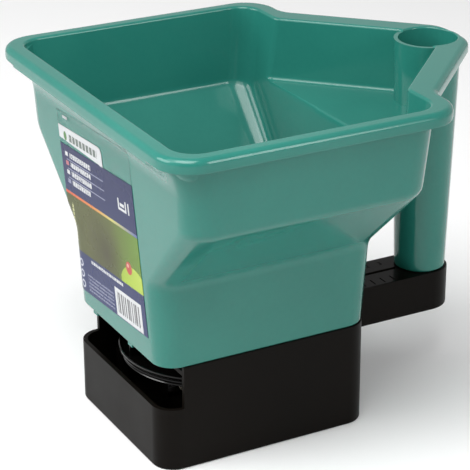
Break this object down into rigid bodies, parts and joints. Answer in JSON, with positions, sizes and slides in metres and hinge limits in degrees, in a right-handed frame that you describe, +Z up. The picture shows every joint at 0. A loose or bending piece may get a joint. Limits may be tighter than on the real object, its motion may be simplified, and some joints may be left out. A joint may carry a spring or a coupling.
{
  "type": "hand-held garden spreader",
  "caption": "Hand-held garden spreader with an open plastic hopper, a hollow tube handle, a crank-driven spinner in a notched housing and a sliding shutter.",
  "frame": {"origin": "on the floor under the housing, on the spinner's vertical axis", "axes": "+Z up, -Y towards the label and the discharge notch, +Y towards the handle tube, crank on the -X side"},
  "size_m": [0.2178, 0.2318, 0.1968],
  "materials": {
    "hopper_plastic": "glossy moulded teal green",
    "label_film": "printed film",
    "black_plastic": "satin moulded black",
    "natural_plastic": "natural nylon",
    "steel": "zinc plated"
  },
  "bodies": {
    "frame": {"hopper": "hopper_plastic", "front_label": "label_film", "base_housing": "black_plastic", "floor_cover": "black_plastic", "floor_screws": "steel", "hopper_screws": "steel", "handle_screw": "steel", "lower_bush": "natural_plastic", "upper_bush": "natural_plastic", "crank_bush": "natural_plastic", "gear_bracket": "black_plastic", "bracket_screws": "steel"},
    "spinner": {"spinner_disc": "black_plastic", "spinner_shaft": "steel", "spinner_pinion": "natural_plastic", "disc_clip": "steel", "agitator": "black_plastic", "agitator_pin": "steel"},
    "crank": {"crank_shaft": "steel", "crown_gear": "natural_plastic", "shaft_clip": "steel", "crank_washer": "steel", "crank_arm": "black_plastic", "crank_screw": "steel", "knob_pin": "steel"},
    "knob": {"crank_knob": "black_plastic", "knob_cap": "black_plastic"},
    "shutter": {"shutter_plate": "black_plastic", "shutter_rod": "black_plastic", "thumb_slider": "black_plastic", "slider_rivets": "steel"}
  },
  "joints": [
    {"name": "spinner_turn", "type": "hinge", "parent": "frame", "child": "spinner", "pos_m": [0, 0, 0.0407], "axis": [0, 0, 1], "continuous": true},
    {"name": "crank_turn", "type": "hinge", "parent": "frame", "child": "crank", "pos_m": [-0.054, 0, 0.0185], "axis": [1, 0, 0], "continuous": true},
    {"name": "knob_turn", "type": "hinge", "parent": "crank", "child": "knob", "pos_m": [-0.079, 0.042, 0.0185], "axis": [1, 0, 0], "continuous": true},
    {"name": "shutter_slide", "type": "slide", "parent": "frame", "child": "shutter", "axis": [0, 1, 0], "range_m": [0, 0.026]}
  ],
  "couplings": [
    {"joint": "crank_turn", "follows": "spinner_turn", "ratio": 0.46154}
  ]
}
